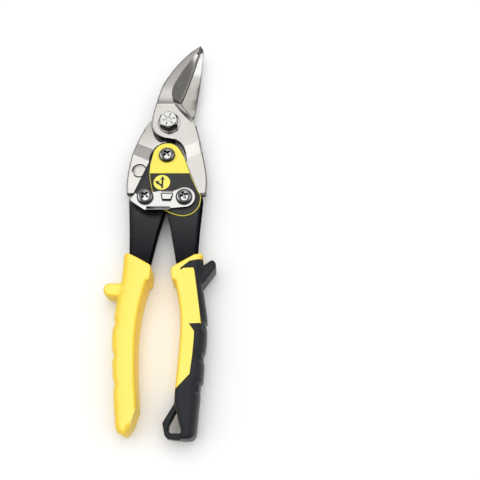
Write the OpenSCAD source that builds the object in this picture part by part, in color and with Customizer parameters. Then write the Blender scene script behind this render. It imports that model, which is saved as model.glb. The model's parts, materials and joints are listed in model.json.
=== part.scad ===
// Aviation snips, left and straight cut, with compound levers.
// The snips lie flat: +Z is up, +Y points to the jaws and +X to the right-hand handle.
// Outlines are drawn in millimetres about the centre of the main blade pivot.

/* [Linkage] */
// Distance from the main blade pivot to the handle hinge, handles closed
pivot_to_hinge = 24.3; // [24:0.1:25]
// Distance from the handle hinge to the line through both tang pins
hinge_to_tang = 28.8; // [28.5:0.1:29]
// Half the distance between the two tang pins
tang_half = 11.4; // [11.2:0.1:11.6]

/* [Blades] */
// Thickness of a blade at the main pivot
blade_t = 4.45; // [4.2:0.05:4.6]
// Thickness of a blade's tang between the handle flanges
tang_t = 4.4; // [4:0.1:4.6]
// Gap between the two shear faces
shear_gap = 0.1; // [0.05:0.05:0.2]
// Thickness of a jaw at its tip
tip_t = 1.8; // [1.2:0.1:2.5]

/* [Handles] */
// Thickness of the pressed handle sheet
sheet_t = 1.7; // [1.5:0.1:1.8]
// Outside height of the right-hand channel
channel_h = 12; // [12:0.1:12.4]
// Radius of the flanges around the handle hinge
hub_r = 9.4; // [9:0.1:9.6]

/* [Grips] */
// Thickness of a grip
grip_t = 18; // [18:0.5:20]

/* [Fasteners] */
// Shank radius of the main pivot bolt
bolt_r = 4; // [3.5:0.1:4.2]
// Width across the flats of the bolt head
bolt_af = 11; // [10:0.5:12]
// Shank radius of the handle hinge screw
hinge_r = 2.5; // [2.3:0.1:2.7]
// Shank radius of the tang screws
tang_r = 3; // [2.8:0.1:3.2]
// Radius of the domed screw heads
head_r = 4.9; // [4.5:0.1:5]
// Radial clearance of a turning fit
fit_gap = 0.05; // [0.02:0.01:0.1]
// Radial clearance at the left tang pin, which closes the linkage
loop_gap = 0.4; // [0.35:0.05:0.5]

/* [Latch] */
// Thickness of the cover plate
cover_t = 0.8; // [0.6:0.1:1]
// Thickness of the latch plate
latch_t = 1.5; // [1.2:0.1:1.6]
// Radius of the screw neck that the latch hooks
neck_r = 2.2; // [2:0.1:2.3]

/* [Hidden] */
$fn = 64;
slot_fn = 32;

// Heights above the surface that the grips rest on
mid_z = grip_t / 2;
blade_top = mid_z + shear_gap / 2 + blade_t;
blade_bottom = mid_z - shear_gap / 2 - blade_t;
flange_top = mid_z + channel_h / 2;
flange_bottom = mid_z - channel_h / 2;
nest_gap = 0.1;
inner_h = channel_h - 2 * sheet_t - 2 * nest_gap;
inner_top = mid_z + inner_h / 2;
inner_bottom = mid_z - inner_h / 2;
cover_top = flange_top + cover_t;
label_t = 0.2;
label_top = cover_top + label_t;
disc_t = 0.15;
latch_z = label_top + 0.3;
latch_top = latch_z + latch_t;
head_z = latch_top + 0.05;
head_h = 2.85;
shank_end = 0.4;
nut_h = 2.8;
above = grip_t + 9;

// Joint centres
hinge = [0, -pivot_to_hinge];
tang_y = -pivot_to_hinge - hinge_to_tang;
right_tang = [tang_half, tang_y];
left_tang = [-tang_half, tang_y];

// Widest points of the whole object, which put the origin under its middle
tip_y = 61.6;
grip_end_y = -189.2;
left_guard_x = -32.4;
right_guard_x = 30.4;
middle = [(left_guard_x + right_guard_x) / 2, (tip_y + grip_end_y) / 2];

// Joggle of each blade: start and end of the ramp, measured square to its slanted edges
joggle_angle = 24;
upper_ramp = [-19.5, -26.4];
lower_ramp = [-17.8, -26.9];
underside_shift = -1;

eye_r = 7.3;
lobe_r = 11.2;
shoulder_y = -48;

// Points of an arc about c from angle a to angle b
function arc(c, r, a, b, n = 12) =
    [for (i = [0:n]) let (t = a + (b - a) * i / n) [c[0] + r * cos(t), c[1] + r * sin(t)]];

// One point of a smooth span between b and c, with neighbours a and d
function span(a, b, c, d, t) =
    0.5 * (2 * b + (c - a) * t + (2 * a - 5 * b + 4 * c - d) * t * t
    + (3 * b - a - 3 * c + d) * t * t * t);

// A smooth curve through the points p, with n steps between each pair
function curve(p, n = 5) = let (m = len(p) - 1) concat(
    [for (i = [0:m - 1], k = [0:n - 1])
        span(p[max(i - 1, 0)], p[i], p[i + 1], p[min(i + 2, m)], k / n)],
    [p[m]]);

// The same outline on the other side of the Y axis
function flip(p) = [for (q = p) [-q[0], q[1]]];

// The same points moved sideways, in the opposite order
function back(p, dx) = [for (i = [len(p) - 1:-1:0]) [p[i][0] + dx, p[i][1]]];

module place() {
    translate([-middle[0], -middle[1], 0]) children();
}

module slab(points, z0, z1) {
    translate([0, 0, z0]) linear_extrude(z1 - z0) polygon(points);
}

module post(c, r, z0, z1) {
    translate([c[0], c[1], z0]) cylinder(r = r, h = z1 - z0);
}

module ring(c, outer, inner, z0, z1) {
    difference() {
        post(c, outer, z0, z1);
        post(c, inner, z0 - 1, z1 + 1);
    }
}

// ---- Blades ----

// Right-hand tang from the pivot lobe round its eye and up to the jaw
tang_inner = curve([[4.1, -12.1], [7.6, -14.8], [9.7, -18.6], [10.7, -24], [9.9, -33], [8.6, -41],
    [5.2, -49.4]]);
tang_eye = arc(right_tang, eye_r, 150, 360);
tang_shoulder = [[19.3, shoulder_y], [23.2, shoulder_y], [23.9, shoulder_y + 0.8]];

upper_outer = curve([[24.3, -40.6], [23.8, -33.5], [21.8, -22.4], [19.2, -10.5], [17.2, -3],
    [14.6, 3.8], [12, 8.2], [8.3, 13.6], [6.7, 17]]);
upper_edge = [[8, 20], [11.5, 31], [14.6, 42.2], [17.4, 54], [18.6, 60.9]];
upper_spine = curve([[17.8, 60.8], [13, 56.8], [8.4, 51.8], [3.9, 45.8], [-0.5, 38.7], [-4.8, 30.4],
    [-7, 23.4], [-8.9, 15], [-10.7, 6.2]]);
upper_outline = concat(upper_spine, arc([0, 0], lobe_r, 165, 268), tang_inner, tang_eye,
    tang_shoulder, upper_outer, upper_edge);

lower_outer = curve([[-24.4, -40.6], [-24, -33.5], [-22.5, -21.6], [-19.6, -9.8], [-16.3, -2.3],
    [-12.7, 3.3], [-7, 8.6], [0, 12.2], [5, 15.8]]);
lower_edge = [[6.4, 20], [9.9, 31], [13.6, 42.2], [16.9, 54], [18.2, tip_y]];
lower_spine = curve([[19, 61.4], [19.9, 58.4], [19.8, 52.6], [19.3, 45], [18.8, 37.5], [18.1, 30],
    [16.8, 19.1], [15.2, 8.3]]);
lower_outline = concat(lower_spine, arc([0, 0], lobe_r, 10, -88), flip(tang_inner), flip(tang_eye),
    flip(tang_shoulder), lower_outer, lower_edge);

// Side profile of a blade along the slanted joggle: pivot level, ramp and tang level
module joggle_profile(angle, ramp, s) {
    gap = shear_gap / 2;
    far = 90;
    points = [[far, gap], [far, gap + blade_t], [ramp[0], gap + blade_t],
        [ramp[1], tang_t / 2], [-far, tang_t / 2], [-far, -tang_t / 2],
        [ramp[1] + underside_shift, -tang_t / 2], [ramp[0] + underside_shift, gap]];
    translate([0, 0, mid_z]) rotate([0, 0, angle]) rotate([90, 0, 90])
        linear_extrude(2 * far, center = true) polygon([for (p = points) [p[0], s * p[1]]]);
}

// Height of a jaw's outer face above the shear plane: a run-out at the root, then a long taper
jaw_root_y = 13.9;
jaw_profile = [[jaw_root_y, blade_t], [15.9, blade_t - 0.5], [18.9, blade_t - 0.9],
    [24, blade_t - 1.2], [tip_y, tip_t]];
function jaw_h(y) = shear_gap / 2 + lookup(y, jaw_profile);

// What the grinding takes off a jaw from its root line to the tip
module jaw_taper(s) {
    beyond = 10;
    points = concat([for (p = jaw_profile) [p[0], jaw_h(p[0])]],
        [[tip_y + beyond, jaw_h(tip_y)], [tip_y + beyond, above], [jaw_root_y, above]]);
    translate([0, 0, mid_z]) rotate([90, 0, 90])
        linear_extrude(100, center = true) polygon([for (p = points) [p[0], s * p[1]]]);
}

// Closed solid through rings of points, each ring with the same count
module skin(rings) {
    n = len(rings);
    m = len(rings[0]);
    walls = [for (i = [0:n - 2], k = [0:m - 1]) let (j = (k + 1) % m)
        for (f = [[i * m + k, (i + 1) * m + k, (i + 1) * m + j], [i * m + k, (i + 1) * m + j, i * m + j]])
            f];
    first = [for (k = [0:m - 1]) k];
    last = [for (k = [m - 1:-1:0]) (n - 1) * m + k];
    polyhedron([for (r = rings) each r], concat(walls, [first, last]));
}

// Hollow face that slopes from a crest line down to a thin land along the cutting edge.
// Each row holds a crest point and the land point across from it. The first row is nearly uncut.
// The slope starts a little above the crest, so it leaves the outer face at a clean angle.
land_t = 1.15;
tip_cut = 0.3;
crest_lift = 0.05;
module hollow_face(rows, s) {
    past_edge = 3;
    rings = [for (i = [0:len(rows) - 1]) let (c = [rows[i][0], rows[i][1]], l = [rows[i][2], rows[i][3]],
        far = l + (l - c) * past_edge / norm(l - c),
        low = i == 0 ? jaw_h(c[1]) - tip_cut : shear_gap / 2 + land_t)
            [[c[0], c[1], jaw_h(c[1]) + crest_lift], [l[0], l[1], low], [far[0], far[1], low],
                [far[0], far[1], above], [c[0], c[1], above]]];
    n = len(rings);
    translate([0, 0, mid_z]) mirror([0, 0, s > 0 ? 0 : 1])
        skin(s > 0 ? rings : [for (i = [1:n]) rings[n - i]]);
}

module blade(outline, angle, ramp, s) {
    difference() {
        intersection() {
            slab(outline, 0, 2 * mid_z);
            joggle_profile(angle, ramp, s);
        }
        jaw_taper(s);
    }
}

module upper_blade() {
    rows = [[15.6, 54.7, 16.4, 54.3], [9.7, 44.5, 12.4, 43.4], [6.3, 38.4, 10.9, 37.2],
        [3.4, 32.3, 9.4, 31.4], [1.5, 27.4, 8, 26.8], [0.8, 23.2, 6.9, 22.8], [1.2, 19.2, 6.2, 19.6],
        [2.5, 15.7, 6.3, 16.9], [4.7, 12.2, 7.4, 13.9], [10.7, 5.1, 12.1, 6.4], [18, -3.2, 18.5, -2.8]];
    color("silver") place() difference() {
        blade(upper_outline, joggle_angle, upper_ramp, 1);
        hollow_face(rows, 1);
        post([0, 0], bolt_r + fit_gap, 0, 2 * mid_z);
        post([0, 0], spot_r, blade_top - spot_depth, 2 * mid_z);
        post(right_tang, tang_r + fit_gap, 0, 2 * mid_z);
    }
}

module lower_blade() {
    rows = [[18.4, 56, 17.9, 56], [17.2, 45, 15.5, 45.4], [15.6, 36, 12.8, 37], [13.8, 27, 10, 28.2],
        [12.2, 20, 7.8, 21.8], [10, 16, 6.6, 18.2], [7, 13.2, 4.7, 15.4], [2.8, 11.2, 1.6, 12.8]];
    color("silver") place() difference() {
        blade(lower_outline, -joggle_angle, lower_ramp, -1);
        hollow_face(rows, -1);
        post([0, 0], bolt_r + fit_gap, 0, 2 * mid_z);
        post(left_tang, tang_r + loop_gap, 0, 2 * mid_z);
        post(disc_centre, disc_r + disc_groove, mid_z + tang_t / 2 - disc_depth, 2 * mid_z);
    }
}

// Round stamping pressed into the lower blade's tang, inside a narrow groove
disc_centre = [-17, -32.3];
disc_r = 4;
disc_groove = 0.4;
disc_depth = 0.6;

module stamped_disc() {
    top = mid_z + tang_t / 2;
    proud = 0.15;
    color("silver") place() post(disc_centre, disc_r, top - disc_depth, top + proud);
}

// ---- Main pivot ----

module hex_prism(c, af, z0, z1) {
    translate([c[0], c[1], z0]) rotate([0, 0, 30]) cylinder(r = af / sqrt(3), h = z1 - z0, $fn = 6);
}

// Hexagon with its top corners turned off by a cone
module hex_head(c, af, z0, z1) {
    cone_h = 0.9;
    cone_low = 0.58;
    cone_high = 0.49;
    intersection() {
        hex_prism(c, af, z0, z1);
        union() {
            post(c, af, z0 - 1, z1 - cone_h);
            translate([c[0], c[1], z1 - cone_h])
                cylinder(r1 = af * cone_low, r2 = af * cone_high, h = cone_h);
        }
    }
}

spot_r = 7;
spot_depth = 0.4;
washer_r = 6.9;
washer_t = 0.6;
washer_z = blade_top - spot_depth;
washer_top = washer_z + washer_t;
bolt_top = washer_top + 4.4;
pivot_nut_af = 12;

module pivot_bolt() {
    color("gainsboro") place() {
        hex_head([0, 0], bolt_af, washer_top, bolt_top);
        post([0, 0], bolt_r, shank_end, washer_top);
    }
}

module pivot_washer() {
    color("silver") place() ring([0, 0], washer_r, bolt_r, washer_z, washer_top);
}

module pivot_nut() {
    nut_top = blade_bottom - 0.1;
    color("gainsboro") place() difference() {
        translate([0, 0, nut_top]) mirror([0, 0, 1]) hex_head([0, 0], pivot_nut_af, 0, nut_top);
        post([0, 0], bolt_r, -1, blade_bottom);
    }
}

// ---- Handles ----

// Outer line of the right-hand channel, from the web's top corner down into the grip
frame_outer = [[22, -51.4], [20.4, -71], [19.6, -85], [19.7, -110], [20.4, -130], [19.8, -150],
    [18.6, -166]];
// Inner line of the channel, from the grip's end up to the point of the V between the handles
frame_inner = [[12, -166], [13, -150], [13.8, -135], [12.9, -120], [10.7, -105], [8, -93.6],
    [4, -72.9], [1, -60.6]];
frame_outline = concat(frame_outer, frame_inner, arc(hinge, hub_r, 195, 22, 20), [[20.6, -51.4]]);
web_strip = concat(frame_outer, back(frame_outer, -sheet_t));

module channel(outline, web, z0, z1) {
    slab(outline, z0, z0 + sheet_t);
    slab(outline, z1 - sheet_t, z1);
    slab(web, z0, z1);
}

module right_channel() {
    channel(frame_outline, web_strip, flange_bottom, flange_top);
}

module left_channel() {
    channel(flip(frame_outline), flip(web_strip), inner_bottom, inner_top);
}

module right_handle_frame() {
    color("#1b1c20") place() difference() {
        right_channel();
        post(hinge, hinge_r, 0, 2 * mid_z);
        post(right_tang, tang_r, 0, 2 * mid_z);
    }
}

module left_handle_frame() {
    color("#1b1c20") place() difference() {
        left_channel();
        post(hinge, hinge_r + fit_gap, 0, 2 * mid_z);
        post(left_tang, tang_r, 0, 2 * mid_z);
    }
}

// ---- Screws, nuts and sleeves ----

head_side = 0.9;
dome_h = head_h - head_side;
dome_r = (head_r * head_r + dome_h * dome_h) / (2 * dome_h);
dome_sweep = asin(head_r / dome_r);

// Radius and height along a domed head, from its rim to the middle
function dome(z0, n = 6) = [for (i = [0:n]) let (a = dome_sweep * (1 - i / n))
    [i == n ? 0 : dome_r * sin(a), z0 + head_h - dome_r + dome_r * cos(a)]];

// Screw turned in one piece: a stepped shank under a domed head with a cross recess.
// Each step of the shank is its radius and the two heights that it runs between.
module screw(c, steps, z0) {
    recess = [5.2, 1.1, 3];
    depth = 1.7;
    side = [for (s = steps, k = [1, 2]) [s[0], s[k]]];
    translate([c[0], c[1], 0]) difference() {
        rotate_extrude() polygon(concat([[0, steps[0][1]]], side, [[head_r, z0]], dome(z0)));
        for (turn = [30, 120])
            rotate([0, 0, turn])
                translate([-recess[0] / 2, -recess[1] / 2, z0 + head_h - depth]) cube(recess);
    }
}

// Plain nut on a shank that ends just inside it
nut_af = 9;
module shank_nut(c, r, top) {
    difference() {
        hex_prism(c, nut_af, top - nut_h, top);
        post(c, r, top - nut_h - 1, top + 1);
    }
}

module hinge_screw() {
    color("gainsboro") place() screw(hinge, [[hinge_r, shank_end, cover_top]], cover_top);
}

module hinge_nut() {
    color("gainsboro") place() shank_nut(hinge, hinge_r, flange_bottom);
}

module right_tang_screw() {
    color("gainsboro") place() screw(right_tang, [[tang_r, shank_end, head_z]], head_z);
}

module right_tang_nut() {
    color("gainsboro") place() shank_nut(right_tang, tang_r, flange_bottom);
}

// Washers that keep the upper blade's tang in the middle of the wider channel
module right_tang_spacers() {
    spacer_r = 6;
    spacer_t = channel_h / 2 - sheet_t - tang_t / 2 - 0.1;
    color("gainsboro") place() for (z = [flange_bottom + sheet_t, flange_top - sheet_t - spacer_t])
        ring(right_tang, spacer_r, tang_r, z, z + spacer_t);
}

module left_tang_screw() {
    low = inner_bottom - nut_h + 0.2;
    color("gainsboro") place()
        screw(left_tang, [[tang_r, low, inner_top], [neck_r, inner_top, head_z]], head_z);
}

module left_tang_nut() {
    color("gainsboro") place() shank_nut(left_tang, tang_r, inner_bottom);
}

module left_tang_sleeve() {
    collar_r = 3.4;
    color("gainsboro") place() ring(left_tang, collar_r, neck_r, inner_top, latch_z - 0.15);
}

// ---- Opening spring ----

sleeve_r = 3.8;

module spring_sleeve() {
    end_gap = sheet_t + 0.05;
    color("silver") place() ring(hinge, sleeve_r, hinge_r, inner_bottom + end_gap, inner_top - end_gap);
}

spring_wire = 1.3;
coil_pitch = spring_wire * 1.04;
coil_r = 5.2;
coil_turns = 2.5;
coil_steps = 60;
leg_foot = [5.9, -42];

// Centre line of the spring: right leg, coil round the sleeve, left leg
function coil_point(t) = [hinge[0] + coil_r * cos(360 * coil_turns * t),
    hinge[1] + coil_r * sin(360 * coil_turns * t),
    mid_z + coil_pitch * coil_turns * (0.5 - t)];
spring_path = concat(
    [[leg_foot[0], leg_foot[1], coil_point(0)[2]], [5.5, -34, coil_point(0)[2]]],
    [for (i = [0:coil_steps]) coil_point(i / coil_steps)],
    [[-5.5, -34, coil_point(1)[2]], [-leg_foot[0], leg_foot[1], coil_point(1)[2]]]);

// Round tube along a path that stays nearly level
module tube(path, r, sides = 8) {
    n = len(path);
    skin([for (i = [0:n - 1]) let (d = path[min(i + 1, n - 1)] - path[max(i - 1, 0)],
        l = norm([d[0], d[1]]), side = [d[1] / l, -d[0] / l, 0])
            [for (k = [0:sides - 1]) let (a = 360 * k / sides)
                path[i] + r * cos(a) * side + r * sin(a) * [0, 0, 1]]]);
}

module opening_spring() {
    color("dimgray") place() tube(spring_path, spring_wire / 2);
}

// ---- Cover plate and latch ----

cover_hub_r = 8.5;
cover_outline = concat(
    arc(hinge, cover_hub_r, 165, 28, 14),
    curve([[10.3, -25.4], [14.2, -36.3], [18.7, -46.9], [20.6, -50.4], [21, -53.4], [19.9, -58.6],
        [16.2, -62.8], [10.6, -64.4], [4.5, -62.9], [-0.4, -60.4]]),
    curve([[-5.8, -52.8], [-8, -47.6], [-9.9, -38], [-9.8, -30]]));

module cover_plate() {
    color("#f2e64a") place() difference() {
        slab(cover_outline, flange_top, cover_top);
        post(hinge, hinge_r, 0, above);
        post(right_tang, tang_r, 0, above);
    }
}

// Dark printed label on the lower part of the cover, just inside its edge
label_line_y = -36.5;
label_rim = 0.4;

module cover_label() {
    span = [60, 40];
    color("#3a3a3a") place() difference() {
        translate([0, 0, cover_top]) linear_extrude(label_t) intersection() {
            offset(delta = -label_rim) polygon(cover_outline);
            translate([-span[0] / 2, label_line_y - span[1]]) square(span);
        }
        post(right_tang, tang_r, 0, above);
    }
}

// Yellow spot on the label that shows which way the snips cut
direction_centre = [-2.3, -42.7];
direction_r = 4.9;

module direction_disc() {
    color("#f2e64a") place() post(direction_centre, direction_r, label_top, label_top + disc_t);
}

// The latch turns on the right-hand tang screw and hooks the left-hand screw's neck
latch_lobe = 6.5;
lip_y = -61.6;
latch_outline = concat(
    [[-20.9, -54.8], [-18.2, -51], [-15.2, -49.1], [-9.4, -48.6], [-6.9, -49.6], [-3.6, -49],
        [4.4, -49]],
    arc(right_tang, latch_lobe, 122, -75, 20),
    [[4, -60.3], [3.2, lip_y], [-10.4, lip_y], [-12.1, -61.1], [-16, -58.5]]);
// Straight slot that follows the screw's neck as it leaves the hook
slot_exit = [-14.4, -45.5];
slot_r = neck_r + 0.5;
slot_flare = 0.3;

module latch() {
    bridge = [[-2.2, -51.2], [4.7, -51.2], [3.6, -57], [-1, -57]];
    bridge_h = 0.6;
    lip = [13.6, 1.2, latch_t + 1.4];
    color("gainsboro") place() {
        difference() {
            slab(latch_outline, latch_z, latch_top);
            post(right_tang, tang_r + fit_gap, 0, above);
            hull() {
                post(left_tang, slot_r, 0, above, $fn = slot_fn);
                post(slot_exit, slot_r + slot_flare, 0, above, $fn = slot_fn);
            }
        }
        slab(bridge, latch_top - 0.2, latch_top + bridge_h);
        translate([-10.4, lip_y, latch_z]) cube(lip);
    }
}

module latch_washer() {
    outer = 5.4;
    color("gainsboro") place() ring(right_tang, outer, tang_r, label_top, latch_z - 0.05);
}

// ---- Grips ----

// Rounded block: a stack of slices that step in towards the flat faces
module soft_block(outline) {
    steps = [[0, 2.8], [0.8, 1.4], [2.2, 0.5], [4.4, 0]];
    for (i = [0:len(steps) - 1]) {
        z0 = steps[i][0];
        z1 = i < len(steps) - 1 ? steps[i + 1][0] : grip_t / 2;
        for (side = [0, 1])
            translate([0, 0, side == 0 ? z0 : grip_t - z1]) linear_extrude(z1 - z0)
                offset(delta = -steps[i][1]) polygon(outline);
    }
}

left_grip_outline = concat(
    [[-21.4, -87.5], [-22.4, -88.4], [-22.5, -98], [-22.8, -104.8]],
    [[-30.6, -105.1], [-32, -106.6], [left_guard_x, -108.9], [-31.6, -111], [-29.8, -112.3],
        [-24.4, -113]],
    [[-24.9, -119.4], [-25.3, -125.4], [-24.4, -127.2], [-24.7, -128.8], [-25.8, -131.6]],
    [[-25.5, -138], [-25, -142.6], [-23.9, -145.2], [-24, -146.6], [-24.5, -149.2]],
    [[-23.9, -155], [-23.3, -158.6], [-22.3, -160.8], [-22.4, -162.4], [-22.8, -164.8]],
    [[-21.7, -174], [-20.4, -183.3], [-18.9, -185.8], [-16.6, -186.9], [-15.6, -187.4],
        [-14.4, -186.8], [-12.6, -183.6]],
    curve([[-9.7, -173.4], [-10, -169], [-11.2, -159], [-12.2, -142], [-12.1, -129.8], [-10.6, -117],
        [-8, -104.2]], 3),
    [[-6.4, -103.6], [-5.9, -100], [-5.8, -96.8], [-6.4, -95], [-12.9, -91.2], [-19, -87.8]]);

module left_grip() {
    color("#f4e13c") place() difference() {
        soft_block(left_grip_outline);
        left_channel();
    }
}

right_grip_outline = concat(
    [[5.4, -96.3], [11, -92.9], [18, -88.8], [21.9, -88], [23.1, -89.4], [23.2, -94.6]],
    [[27.8, -91.3], [29.3, -91.6], [right_guard_x, -93.2], [right_guard_x, -95.8], [23.1, -106]],
    [[24.3, -113.5], [25.7, -121.9], [26, -126.6], [24.9, -128.2], [25, -129.4], [25.9, -131.2]],
    [[25.8, -138.1], [25.1, -143.2], [24.1, -145.2], [24.1, -147.8], [24.8, -150]],
    [[24.3, -159.2], [23, -161], [22.7, -164.8], [23, -167]],
    [[22.4, -173], [21.7, -183], [21.5, -186.6], [18.7, grip_end_y], [13.9, grip_end_y], [13.9, -185]],
    curve([[9.8, -171], [10.1, -162.5], [10.6, -155], [11.6, -136], [11.5, -125], [10.2, -115.3],
        [7.8, -104.2]], 3),
    [[6, -103.3], [5.2, -99.5]]);

// Hanging loop beside the end of the grip, thinner than the grip itself
loop_z = [4, 14];
loop_outline = [[9.4, -170.6], [3.6, -180.6], [5, -186.8], [6.6, -188.6], [11.5, grip_end_y],
    [17, grip_end_y], [17, -172]];

// Black part of the right-hand grip, seen from above
overmould_outline = [[10.5, -97.2], [15.6, -92.8], [23.2, -91.2], [40, -80], [40, -200], [0, -200],
    [0, -163.5], [10.7, -163.5], [17.5, -156.1], [18.6, -146.5], [19.2, -138], [19.3, -133.2],
    [16.3, -128.9], [22.9, -128.6], [20.1, -109], [18.4, -98], [17.9, -96.8], [12.2, -97.1],
    [11, -98.4]];
hang_hole = [[10.4, -175], [6.9, -182], [6.9, -184.8], [8.2, -185.8], [15, -185.8], [15, -178]];

// The whole channel as one block, with its hollow filled, inside the grip
module channel_block() {
    slab(frame_outline, flange_bottom, flange_top);
}

module overmould_prism() {
    slab(overmould_outline, -1, grip_t + 1);
}

// Stretch of the channel that the core fills from inside
core_reach = [[0, -100], [40, -100], [40, -170], [0, -170]];

module right_grip_core() {
    color("#f4e13c") place() difference() {
        union() {
            difference() {
                soft_block(right_grip_outline);
                overmould_prism();
            }
            intersection() {
                channel_block();
                slab(core_reach, 0, grip_t);
            }
        }
        right_channel();
    }
}

module right_grip_overmould() {
    color("#202126") place() difference() {
        union() {
            intersection() {
                soft_block(right_grip_outline);
                overmould_prism();
            }
            difference() {
                slab(loop_outline, loop_z[0], loop_z[1]);
                slab(hang_hole, 0, grip_t);
            }
        }
        channel_block();
    }
}

upper_blade();
lower_blade();
pivot_bolt();
pivot_washer();
pivot_nut();
stamped_disc();
right_handle_frame();
left_handle_frame();
hinge_screw();
hinge_nut();
spring_sleeve();
opening_spring();
right_tang_screw();
right_tang_nut();
right_tang_spacers();
left_tang_screw();
left_tang_nut();
left_tang_sleeve();
cover_plate();
cover_label();
direction_disc();
latch();
latch_washer();
left_grip();
right_grip_core();
right_grip_overmould();
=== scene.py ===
"""Aviation snips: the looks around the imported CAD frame.

Outlines are in millimetres about the main blade pivot, as in the CAD source, and heights are in
millimetres above the surface that the snips lie on. place() turns both into metres in the row frame.
"""
import json
import math

import bpy
import numpy as np
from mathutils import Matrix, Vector
from mathutils.geometry import delaunay_2d_cdt


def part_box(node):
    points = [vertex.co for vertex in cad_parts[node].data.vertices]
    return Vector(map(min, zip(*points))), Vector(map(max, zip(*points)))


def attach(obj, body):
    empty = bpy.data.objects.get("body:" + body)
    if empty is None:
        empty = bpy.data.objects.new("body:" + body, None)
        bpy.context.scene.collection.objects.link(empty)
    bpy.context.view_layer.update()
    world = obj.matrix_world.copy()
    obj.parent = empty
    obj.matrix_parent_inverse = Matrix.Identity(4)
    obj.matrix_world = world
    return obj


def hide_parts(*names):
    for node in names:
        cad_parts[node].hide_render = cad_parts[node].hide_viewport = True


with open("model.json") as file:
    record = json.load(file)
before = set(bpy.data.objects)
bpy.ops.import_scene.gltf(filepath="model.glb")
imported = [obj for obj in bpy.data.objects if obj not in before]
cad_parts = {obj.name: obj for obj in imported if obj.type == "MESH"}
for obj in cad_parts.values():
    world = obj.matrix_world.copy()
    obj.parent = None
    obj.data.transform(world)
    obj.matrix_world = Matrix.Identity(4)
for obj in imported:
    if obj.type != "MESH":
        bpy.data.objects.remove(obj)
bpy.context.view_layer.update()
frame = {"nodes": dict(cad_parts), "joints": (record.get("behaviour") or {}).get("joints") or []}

MM = 0.001
JOINTS = {j["name"]: j for j in frame["joints"]}
PIVOT_XY = np.array(JOINTS["blade_pivot"]["pos_m"][:2])


def joint_point(name):
    """A joint's centre in plan, in millimetres about the main pivot."""
    return tuple(np.array(JOINTS[name]["pos_m"][:2]) / MM - PIVOT_XY / MM)


def heights(node):
    """Lowest and highest point of a CAD node, in millimetres."""
    low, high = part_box(node)
    return low.z / MM, high.z / MM


MID_Z = JOINTS["blade_pivot"]["pos_m"][2] / MM
HINGE = joint_point("handle_hinge")
RIGHT_TANG = joint_point("upper_tang_pivot")
LEFT_TANG = (-RIGHT_TANG[0], RIGHT_TANG[1])


def add_object(name, data):
    thing = bpy.data.objects.new(name, data)
    bpy.context.scene.collection.objects.link(thing)
    return thing


# ---------------- camera

CAMERA_TILT = math.radians(22)
CAMERA_DISTANCE = 0.3894
CAMERA_TARGET = Vector((0.0451, -0.0093, 0))
CAMERA_LENS = 48.75


def make_camera():
    data = bpy.data.cameras.new("camera")
    data.sensor_width = 36
    data.lens = CAMERA_LENS
    data.clip_start = 0.01
    data.clip_end = 20
    camera = add_object("camera", data)
    back = Vector((0, -math.sin(CAMERA_TILT), math.cos(CAMERA_TILT)))
    camera.location = CAMERA_TARGET + back * CAMERA_DISTANCE
    camera.rotation_euler = (CAMERA_TILT, 0, 0)
    bpy.context.scene.camera = camera


# ---------------- plan geometry

# A point nearer than this to a line counts as lying on it, in mm
NEAR = 0.01
# Points that become one point in the plan's triangles are closer than this, in mm
MERGE = 1e-4
# Twice the area, in square mm, under which a triangle is a rounding error along a straight edge
SLIVER = 1e-4
# Row height of the grid of triangles, and the room it keeps from edges and lines, by its spacing
GRID_ROW = 0.87
GRID_ROOM = 0.4
# Room that loose points keep from a line, in mm, and slack of a point's distance from its edge
LINE_ROOM = 0.05
RING_SLACK = 0.06


def curve(points, n=6):
    """A smooth curve through the points, with n steps between each pair."""
    p = np.array(points, float)
    last = len(p) - 1
    out = []
    for i in range(last):
        a, b, c, d = p[max(i - 1, 0)], p[i], p[i + 1], p[min(i + 2, last)]
        for t in np.arange(n) / n:
            out.append(0.5 * (2 * b + (c - a) * t + (2 * a - 5 * b + 4 * c - d) * t ** 2
                              + (3 * b - a - 3 * c + d) * t ** 3))
    return [tuple(q) for q in out] + [tuple(p[-1])]


def arc(centre, r, start, end, n=16):
    angles = np.radians(np.linspace(start, end, n + 1))
    return [(centre[0] + r * math.cos(a), centre[1] + r * math.sin(a)) for a in angles]


def circle(centre, r, n=48):
    return arc(centre, r, 0, 360, n)[:-1]


def ring(centre, r):
    """A circle as a line that ends where it starts."""
    points = circle(centre, r)
    return points + points[:1]


def flip(points):
    return [(-x, y) for x, y in points]


def turned_by(points, centre, degrees):
    """Points turned about the origin, then moved to a centre."""
    a = math.radians(degrees)
    return [(centre[0] + x * math.cos(a) - y * math.sin(a), centre[1] + x * math.sin(a) + y * math.cos(a))
            for x, y in points]


def resample(points, step, closed=True):
    """The same line with extra points, so that no stretch is longer than step."""
    p = [np.array(q, float) for q in points]
    ends = p[1:] + p[:1] if closed else p[1:]
    out = []
    for a, b in zip(p, ends):
        n = max(1, math.ceil(np.linalg.norm(b - a) / step))
        out += [a + (b - a) * k / n for k in range(n)]
    if not closed:
        out.append(p[-1])
    return np.array(out)


def distance(xy, line, closed=False):
    """Shortest distance from each point to a line of straight stretches."""
    a = np.array(line, float)
    b = np.roll(a, -1, 0)
    if not closed:
        a, b = a[:-1], b[:-1]
    keep = np.linalg.norm(b - a, axis=1) > 1e-9
    a, b = a[keep], b[keep]
    best = np.full(len(xy), 1e9)
    for p, q in zip(a, b):
        v = q - p
        t = np.clip(((xy - p) @ v) / (v @ v), 0, 1)
        best = np.minimum(best, np.linalg.norm(xy - (p + t[:, None] * v), axis=1))
    return best


def line_x(xy, line):
    """X of a line that runs towards -Y, level with each point."""
    xs, ys = np.array(line[::-1], float).T
    return np.interp(xy[:, 1], ys, xs)


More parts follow.
